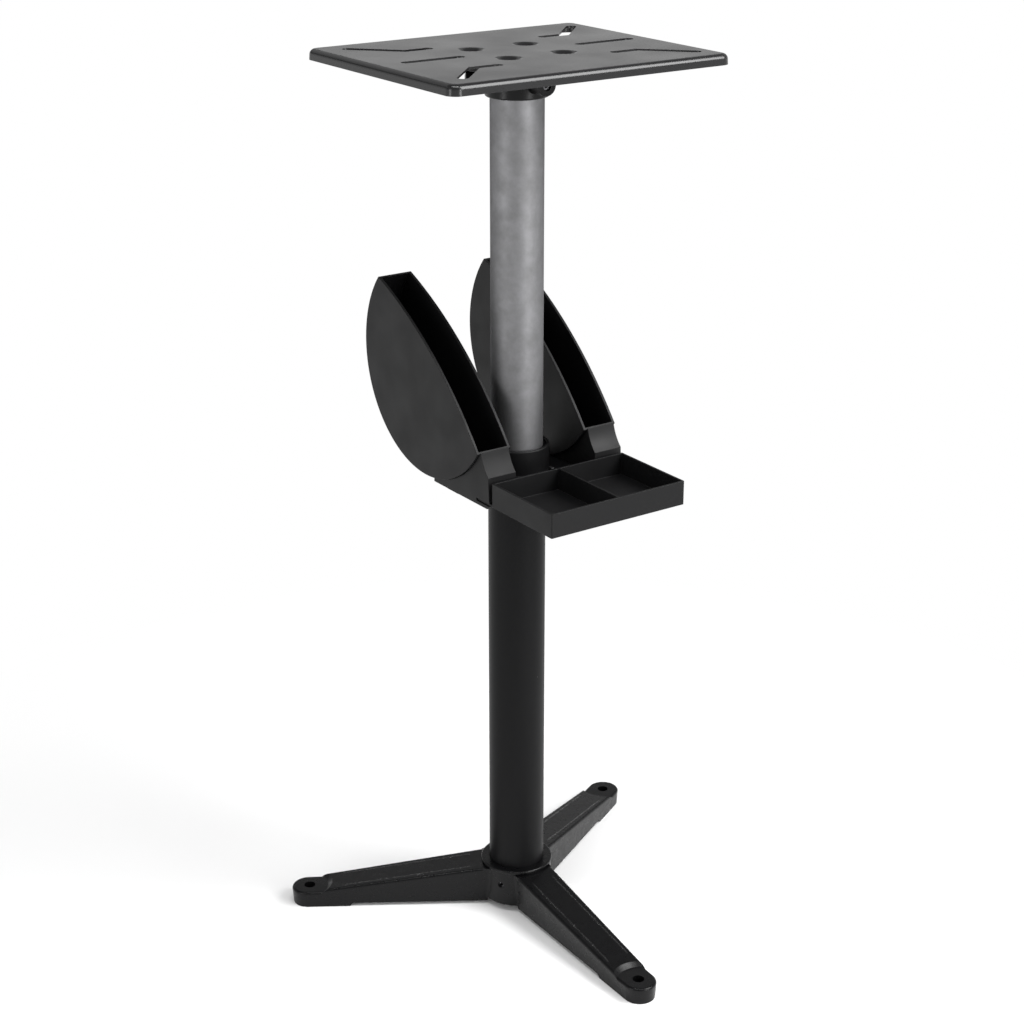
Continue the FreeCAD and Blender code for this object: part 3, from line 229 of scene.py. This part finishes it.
def bare_drawn_steel():
    """Bare drawn steel tube: satin grey with cloudy oxide patches and fine lengthwise drawing lines.

    The lines are a few tenths of a millimetre apart; they are drawn at 1.5 mm, so that they show.
    """
    material, tree, where = start_material("bare_drawn_steel")
    patches = add_node(tree, "ShaderNodeTexNoise", Vector=where, Scale=1 / (16 * MM), Detail=5.0,
                       Roughness=0.6)
    stretched = add_node(tree, "ShaderNodeMapping", Vector=where, Scale=(1.0, 1.0, 0.03))
    lines = add_node(tree, "ShaderNodeTexNoise", Vector=stretched, Scale=1 / (1.5 * MM), Detail=3.0)
    shade = add_node(tree, "ShaderNodeMapRange", _0=patches, _1=0.3, _2=0.7, _3=0.0, _4=1.0)
    colour = add_node(tree, "ShaderNodeMix", {"data_type": "RGBA"}, _0=shade, _6=linear("#7c7c7d"),
                      _7=linear("#8c8c8e"))
    gloss = add_node(tree, "ShaderNodeMapRange", _0=patches, _1=0.3, _2=0.7, _3=0.62, _4=0.54)
    bump = add_node(tree, "ShaderNodeBump", Strength=0.15, Distance=0.06 * MM, Height=lines)
    shader = add_node(tree, "ShaderNodeBsdfPrincipled", Base_Color=colour.outputs[2], Metallic=1.0,
                      Roughness=gloss, Specular_Tint=linear("#909090"), Normal=bump)
    add_node(tree, "ShaderNodeOutputMaterial", Surface=shader)
    return material


def moulded_polypropylene():
    """Black injection-moulded polypropylene: satin skin with a fine spark-eroded grain.

    The grain is about a tenth of a millimetre; it is drawn at 0.9 mm, so that it shows.
    """
    material, tree, where = start_material("moulded_polypropylene")
    grain = add_node(tree, "ShaderNodeTexNoise", Vector=where, Scale=1 / (0.9 * MM), Detail=2.0)
    bump = add_node(tree, "ShaderNodeBump", Strength=0.12, Distance=0.06 * MM, Height=grain)
    flow = add_node(tree, "ShaderNodeTexNoise", Vector=where, Scale=1 / (35 * MM), Detail=2.0)
    gloss = add_node(tree, "ShaderNodeMapRange", _0=flow, _1=0.3, _2=0.7, _3=0.48, _4=0.58)
    dust = settled_dust(tree, where, 24.0, 0.45)
    colour = add_node(tree, "ShaderNodeMix", {"data_type": "RGBA"}, _0=dust, _6=linear("#0b0b0c"),
                      _7=linear("#8a8884"))
    shader = add_node(tree, "ShaderNodeBsdfPrincipled", Base_Color=colour.outputs[2], Roughness=gloss,
                      IOR=1.49, Specular_IOR_Level=0.26, Normal=bump)
    add_node(tree, "ShaderNodeOutputMaterial", Surface=shader)
    return material


def black_oxide_steel():
    """Black-oxide steel fasteners: dark metal with an oily gloss, brighter where it is worn."""
    material, tree, where = start_material("black_oxide_steel")
    wear = add_node(tree, "ShaderNodeTexNoise", Vector=where, Scale=1 / (1.5 * MM), Detail=3.0)
    shade = add_node(tree, "ShaderNodeMapRange", _0=wear, _1=0.45, _2=0.7, _3=0.0, _4=1.0)
    colour = add_node(tree, "ShaderNodeMix", {"data_type": "RGBA"}, _0=shade, _6=linear("#5a5a5c"),
                      _7=linear("#7c7c7e"))
    gloss = add_node(tree, "ShaderNodeMapRange", _0=wear, _1=0.3, _2=0.7, _3=0.28, _4=0.2)
    shader = add_node(tree, "ShaderNodeBsdfPrincipled", Base_Color=colour.outputs[2], Metallic=1.0,
                      Roughness=gloss)
    add_node(tree, "ShaderNodeOutputMaterial", Surface=shader)
    return material


def zinc_plated_steel():
    """Bright zinc plate: pale, slightly cloudy metal."""
    material, tree, where = start_material("zinc_plated_steel")
    cloud = add_node(tree, "ShaderNodeTexNoise", Vector=where, Scale=1 / (3 * MM), Detail=3.0)
    shade = add_node(tree, "ShaderNodeMapRange", _0=cloud, _1=0.3, _2=0.7, _3=0.0, _4=1.0)
    colour = add_node(tree, "ShaderNodeMix", {"data_type": "RGBA"}, _0=shade, _6=linear("#a4a6a9"),
                      _7=linear("#c3c4c6"))
    gloss = add_node(tree, "ShaderNodeMapRange", _0=cloud, _1=0.3, _2=0.7, _3=0.32, _4=0.22)
    shader = add_node(tree, "ShaderNodeBsdfPrincipled", Base_Color=colour.outputs[2], Metallic=1.0,
                      Roughness=gloss)
    add_node(tree, "ShaderNodeOutputMaterial", Surface=shader)
    return material


IRON = enamelled_cast_iron()
FLASH = enamel_on_flash()
TUBE_PAINT = painted_tube()
POWDER_COAT = powder_coated_plate()
BARE_STEEL = bare_drawn_steel()
PLASTIC = moulded_polypropylene()
BLACK_STEEL = black_oxide_steel()
ZINC = zinc_plated_steel()

# Finish of each piece, and how far its sharp edges are broken, in millimetres.
PIECES = {
    "base_casting": (IRON, 0.0),
    "hub_set_screws": (BLACK_STEEL, 0.0),
    "lower_tube": (TUBE_PAINT, 0.3),
    "lock_nut": (TUBE_PAINT, 0.4),
    "height_lock_bolt": (ZINC, 0.3),
    "upper_tube": (BARE_STEEL, 0.0),
    "top_flange": (IRON, 0.6),
    "flange_set_screws": (BLACK_STEEL, 0.0),
    "top_plate": (POWDER_COAT, 0.12),
    "plate_screws": (BLACK_STEEL, 0.3),
    "carrier": (PLASTIC, 0.35),
    "carrier_screw": (ZINC, 0.0),
    "pocket_left": (PLASTIC, 0.35),
    "pocket_right": (PLASTIC, 0.35),
    "tray": (PLASTIC, 0.35),
}


# ---- pieces ----------------------------------------------------------------

def dress(obj, material):
    """One material on the whole of a piece."""
    obj.data.materials.clear()
    obj.data.materials.append(material)


def new_piece(name, shape, node, material):
    """Makes a finished mesh a piece that moves with a CAD node."""
    mesh = bpy.data.meshes.new(name)
    shape.to_mesh(mesh)
    shape.free()
    for face in mesh.polygons:
        face.use_smooth = True
    piece = bpy.data.objects.new(name, mesh)
    bpy.context.scene.collection.objects.link(piece)
    dress(piece, material)
    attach(piece, BODY_OF[node])
    return piece


def roll_dimples(shape):
    """Rolls the pressed plate over a wider curve at the rim of each dimple."""
    rims = []
    for edge in shape.edges:
        middle = (edge.verts[0].co + edge.verts[1].co) / 2 / MM
        across = math.hypot(abs(middle.x) - SCREW_SQUARE / 2, abs(middle.y) - SCREW_SQUARE / 2)
        if abs(middle.z - PLATE_TOP) < 0.02 and abs(across - DIMPLE_RADIUS) < 0.5:
            rims.append(edge)
    bmesh.ops.bevel(shape, geom=rims, offset=DIMPLE_ROLL * MM, segments=DIMPLE_ROLL_STEPS, profile=0.5,
                    affect="EDGES", material=-1)


def break_edges(node, material, width):
    """Copy of a CAD piece whose sharp edges are rounded a little, shown in its place."""
    shape = bmesh.new()
    shape.from_mesh(NODES[node].data)
    bmesh.ops.remove_doubles(shape, verts=shape.verts, dist=MERGE_WITHIN * MM)
    bmesh.ops.dissolve_limit(shape, angle_limit=math.radians(FLAT_WITHIN), verts=shape.verts,
                             edges=shape.edges)
    if node == "top_plate":
        roll_dimples(shape)
    piece = new_piece(f"{node}_finished", shape, node, material)
    rounding = piece.modifiers.new("broken_edges", "BEVEL")
    rounding.width = width * MM
    rounding.segments = 2
    rounding.limit_method = "ANGLE"
    rounding.angle_limit = math.radians(SHARP_FROM)
    rounding.use_clamp_overlap = False
    flats = piece.modifiers.new("flat_faces_stay_flat", "WEIGHTED_NORMAL")
    flats.mode = "FACE_AREA"
    flats.weight = 100
    flats.keep_sharp = True
    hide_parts(node)


def lump_at(place):
    """Height of the flash at a place, as a share of its rise."""
    height = 0.5 + 0.5 * noise.fractal(place / (FLASH_LUMP * MM), 1.0, 2.0, 2)
    return max(height, 0.0) ** 2


def rough_edge(name, start, stop):
    """Line of cast flash under the enamel, between two points of the foot, sunk at both ends."""
    start, stop = start * MM, stop * MM
    length = (stop - start).length
    turn = (stop - start).normalized().to_track_quat("Z", "Y")
    shape = bmesh.new()
    bmesh.ops.create_cone(shape, cap_ends=True, segments=FLASH_SPOKES, radius1=FLASH_RADIUS * MM,
                          radius2=FLASH_RADIUS * MM, depth=length)
    sides = [edge for edge in shape.edges if abs(edge.verts[0].co.z - edge.verts[1].co.z) > length / 2]
    bmesh.ops.subdivide_edges(shape, edges=sides, cuts=int(length / (FLASH_STEP * MM)), use_grid_fill=True)
    for vert in shape.verts:
        outward = Vector((vert.co.x, vert.co.y, 0)).normalized()
        place = turn @ vert.co + (start + stop) / 2
        shown = min((length / 2 - abs(vert.co.z)) / (FLASH_FADE * MM), 1.0)
        swell = FLASH_RISE * lump_at(place) * shown - FLASH_END_DEPTH * (1 - shown)
        vert.co = place + turn @ outward * swell * MM
    new_piece(name, shape, "base_casting", FLASH)


def make_parting_flash():
    """Rough parting line along the upper edges of each leg, on the axes of their roundings."""
    lean = math.radians(LEG_DRAFT)
    slope = math.atan((LEG_TOP_AT_HUB - LEG_TOP_AT_STEP) / (STEP_REACH - HUB_RADIUS))
    for leg in range(LEG_COUNT):
        turn = Matrix.Rotation(math.radians(FIRST_LEG + 360 * leg / LEG_COUNT), 3, "Z")
        for side, word in ((1, "left"), (-1, "right")):
            ends = []
            for x, top in ((HUB_RADIUS, LEG_TOP_AT_HUB), (STEP_REACH, LEG_TOP_AT_STEP)):
                share = x / FOOT_END_REACH
                floor_half = LEG_ROOT_HALF_WIDTH * (1 - share) + FOOT_END_RADIUS * share
                z = top - LEG_EDGE_ROUND / math.cos(slope)
                y = floor_half - z * math.tan(lean) - LEG_EDGE_ROUND / math.cos(lean)
                ends.append(turn @ Vector((x, side * y, z)))
            near, far = ends[0].lerp(ends[1], FLASH_FROM), ends[0].lerp(ends[1], FLASH_TO)
            rough_edge(f"parting_flash_{leg + 1}_{word}", near, far)


def round_bead(name, node, material, centres, radii, closed):
    """Round bead along a line of points, one radius at each, in millimetres."""
    shape = bmesh.new()
    bmesh.ops.create_circle(shape, segments=BEAD_SPOKES, radius=1.0)
    first = ring = list(shape.edges)
    last_place = Matrix()
    for k, (centre, radius) in enumerate(zip(centres, radii)):
        behind, ahead = centres[k - 1], centres[(k + 1) % len(centres)]
        if not closed:
            behind, ahead = centres[max(k - 1, 0)], centres[min(k + 1, len(centres) - 1)]
        if k:
            grown = bmesh.ops.extrude_edge_only(shape, edges=ring)["geom"]
            ring = [part for part in grown if isinstance(part, bmesh.types.BMEdge) and part.is_boundary]
        turn = (ahead - behind).to_track_quat("Z", "Y")
        place = Matrix.LocRotScale(centre * MM, turn, Vector((radius, radius, radius)) * MM)
        bmesh.ops.transform(shape, matrix=place @ last_place.inverted(),
                            verts=list({vert for edge in ring for vert in edge.verts}))
        last_place = place
    close_up = bmesh.ops.bridge_loops if closed else bmesh.ops.edgeloop_fill
    close_up(shape, edges=first + ring)
    bmesh.ops.recalc_face_normals(shape, faces=shape.faces)
    new_piece(name, shape, node, material)


def make_weld_bead():
    """Rippled weld between the nut and the column, along the nut's six sides."""
    centres, radii = [], []
    for k in range(WELD_STEPS):
        angle = 2 * math.pi * k / WELD_STEPS
        side = (angle + math.pi / 6) % (math.pi / 3) - math.pi / 6
        reach = LOCK_FLATS / 2 * min(1 / math.cos(side), WELD_CORNER) + WELD_OUT
        x, z = reach * math.sin(angle), LOCK_Z + reach * math.cos(angle)
        centres.append(Vector((x, math.sqrt(COLUMN_RADIUS ** 2 - x ** 2) + WELD_LIFT, z)))
        radii.append(WELD_RADIUS + WELD_RIPPLE * math.cos(WELD_RIPPLES * angle))
    round_bead("weld_bead", "lock_nut", TUBE_PAINT, centres, radii, closed=True)


def make_lock_thread():
    """Thread that shows between the lock bolt's head and the nut."""
    length = LOCK_HEAD_FOOT - LOCK_NUT_FACE
    turns = length / LOCK_THREAD_PITCH
    steps = int(turns * LOCK_THREAD_STEPS)
    centres = []
    for k in range(steps + 1):
        angle = 2 * math.pi * turns * k / steps
        centres.append(Vector((LOCK_THREAD_RADIUS * math.cos(angle), LOCK_NUT_FACE + length * k / steps,
                               LOCK_Z + LOCK_THREAD_RADIUS * math.sin(angle))))
    radii = [LOCK_THREAD_CREST] * len(centres)
    round_bead("lock_bolt_thread", "height_lock_bolt", ZINC, centres, radii, closed=False)


for node_name, (finish, edge_width) in PIECES.items():
    if edge_width:
        break_edges(node_name, finish, edge_width)
    else:
        dress(NODES[node_name], finish)
make_parting_flash()
make_weld_bead()
make_lock_thread()


# ---- floor, light and camera -----------------------------------------------

def make_floor():
    """Pale floor that keeps the stand's shadow near it and turns plain white further out."""
    shape = bmesh.new()
    bmesh.ops.create_circle(shape, cap_ends=True, segments=96, radius=FLOOR_RADIUS)
    mesh = bpy.data.meshes.new("floor")
    shape.to_mesh(mesh)
    shape.free()
    floor = bpy.data.objects.new("floor", mesh)
    bpy.context.scene.collection.objects.link(floor)
    material, tree, where = start_material("pale_floor")
    distance = add_node(tree, "ShaderNodeVectorMath", {"operation": "LENGTH"}, _0=where).outputs["Value"]
    away = add_node(tree, "ShaderNodeMapRange", _0=distance, _1=SHADOW_REACH, _2=WHITE_FROM, _3=0.0,
                    _4=1.0)
    rays = add_node(tree, "ShaderNodeLightPath").outputs
    seen = add_node(tree, "ShaderNodeMath", {"operation": "MAXIMUM"}, _0=rays["Is Camera Ray"],
                    _1=rays["Is Glossy Ray"])
    seen = add_node(tree, "ShaderNodeMath", {"operation": "MAXIMUM"}, _0=seen,
                    _1=rays["Is Transmission Ray"])
    share = add_node(tree, "ShaderNodeMath", {"operation": "MULTIPLY"}, _0=seen, _1=away)
    matt = add_node(tree, "ShaderNodeBsdfDiffuse", Color=linear("#f2f2f2"))
    white = add_node(tree, "ShaderNodeEmission", Color=(1, 1, 1, 1), Strength=1.0)
    mixed = add_node(tree, "ShaderNodeMixShader", _0=share, _1=matt, _2=white)
    add_node(tree, "ShaderNodeOutputMaterial", Surface=mixed)
    dress(floor, material)


def make_world():
    """Soft studio light from all round, in which glossy faces see bright and dark bands."""
    world = bpy.data.worlds.new("studio")
    bpy.context.scene.world = world
    world.use_nodes = True
    tree = world.node_tree
    tree.nodes.clear()
    ray = add_node(tree, "ShaderNodeTexCoord").outputs["Generated"]
    height = add_node(tree, "ShaderNodeSeparateXYZ", Vector=ray).outputs["Z"]
    even = add_node(tree, "ShaderNodeMapRange", _0=height, _1=0.0, _2=OVERHEAD_FROM, _3=HORIZON_LIGHT,
                    _4=OVERHEAD_LIGHT)
    bands = GLOSS_HORIZON
    for start, stop, change in GLOSS_BANDS:
        step = add_node(tree, "ShaderNodeMapRange", _0=height, _1=start, _2=stop, _3=0.0, _4=change)
        bands = add_node(tree, "ShaderNodeMath", {"operation": "ADD"}, _0=bands, _1=step)
    glossy = add_node(tree, "ShaderNodeLightPath").outputs["Is Glossy Ray"]
    strength = add_node(tree, "ShaderNodeMix", _0=glossy, _2=even, _3=bands)
    sky = add_node(tree, "ShaderNodeBackground", Color=(1, 1, 1, 1), Strength=strength)
    add_node(tree, "ShaderNodeOutputWorld", Surface=sky)


def make_softbox(name, bearing, distance, low, high, width, watts, aim_z):
    """Softbox at a bearing in degrees from the front, positive to the left, aimed at the post.

    Its distance, its low and high edge, its width and the height it is aimed at are in metres.
    """
    angle = math.radians(bearing)
    place = Vector((-math.sin(angle) * distance, -math.cos(angle) * distance, (low + high) / 2))
    light = bpy.data.lights.new(name, "AREA")
    light.shape = "RECTANGLE"
    light.size = width
    light.size_y = high - low
    light.energy = watts
    lamp = bpy.data.objects.new(name, light)
    bpy.context.scene.collection.objects.link(lamp)
    lamp.location = place
    lamp.rotation_euler = (Vector((0, 0, aim_z)) - place).to_track_quat("-Z", "Y").to_euler()
    lamp.visible_camera = False


def make_camera():
    """Camera a little above the plate, ahead of the stand and to its left."""
    data = bpy.data.cameras.new("camera")
    data.sensor_width = 36.0
    data.lens = 71.585
    data.clip_end = 200.0
    camera = bpy.data.objects.new("camera", data)
    bpy.context.scene.collection.objects.link(camera)
    camera.location = (-1.000086, -1.440650, 1.097195)
    camera.rotation_euler = (math.radians(68.570), 0.0, math.radians(-34.623))
    bpy.context.scene.camera = camera


make_floor()
make_world()
make_softbox("front_right_softbox", bearing=-10, distance=2.4, low=0.1, high=1.5, width=0.7, watts=21,
             aim_z=0.6)
make_softbox("left_softbox", bearing=84, distance=2.2, low=0.2, high=1.5, width=0.6, watts=10.5,
             aim_z=0.6)
make_softbox("overhead_softbox", bearing=40, distance=0.6, low=2.4, high=2.6, width=1.4, watts=20,
             aim_z=0.4)
make_softbox("high_right_softbox", bearing=-40, distance=1.85, low=1.35, high=2.95, width=1.2, watts=70,
             aim_z=0.45)
make_camera()

bpy.context.scene.view_settings.view_transform = "Standard"
